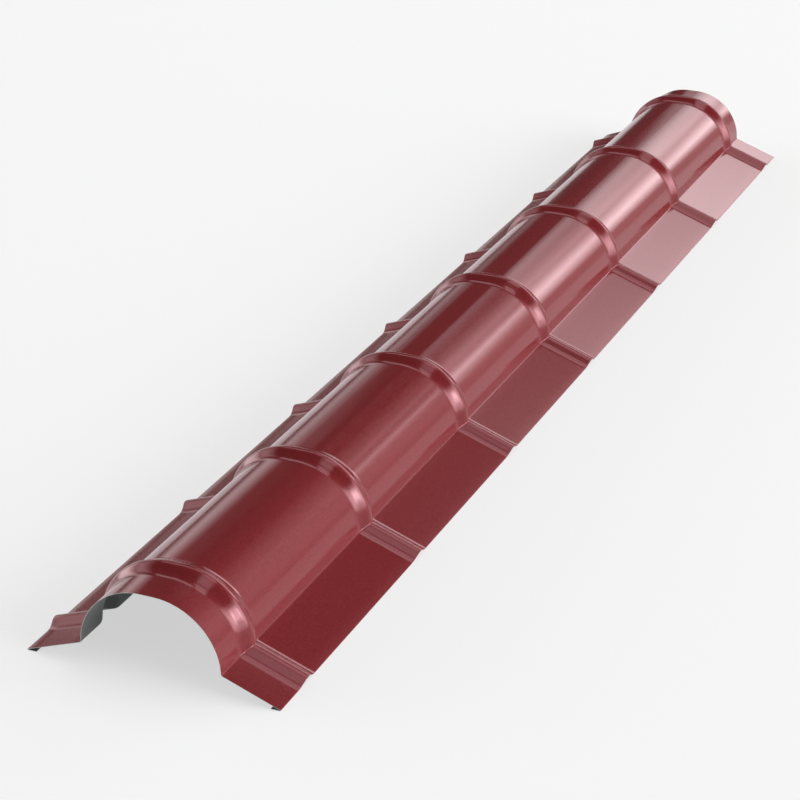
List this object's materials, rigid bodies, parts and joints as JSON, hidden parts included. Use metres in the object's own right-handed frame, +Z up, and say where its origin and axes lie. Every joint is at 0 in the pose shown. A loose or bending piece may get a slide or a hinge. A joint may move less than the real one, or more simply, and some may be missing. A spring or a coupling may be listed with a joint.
{
  "type": "roof ridge cap",
  "caption": "Half-round roof ridge cap of cross-ribbed coated steel sheet, with sloping side flanges and folded-under edges, to cover the ridge line of a metal roof.",
  "frame": {"origin": "middle of the cap's footprint, on the level that the folded edges rest on", "axes": "+Y along the ridge, +Z up through the crown, X across the ridge from flange to flange"},
  "size_m": [0.323, 2, 0.1142],
  "materials": {
    "coated_steel": "satin wine-red coating outside, grey-green back coat inside"
  },
  "bodies": {
    "root": {"ridge_cap": "coated_steel"}
  },
  "joints": []
}
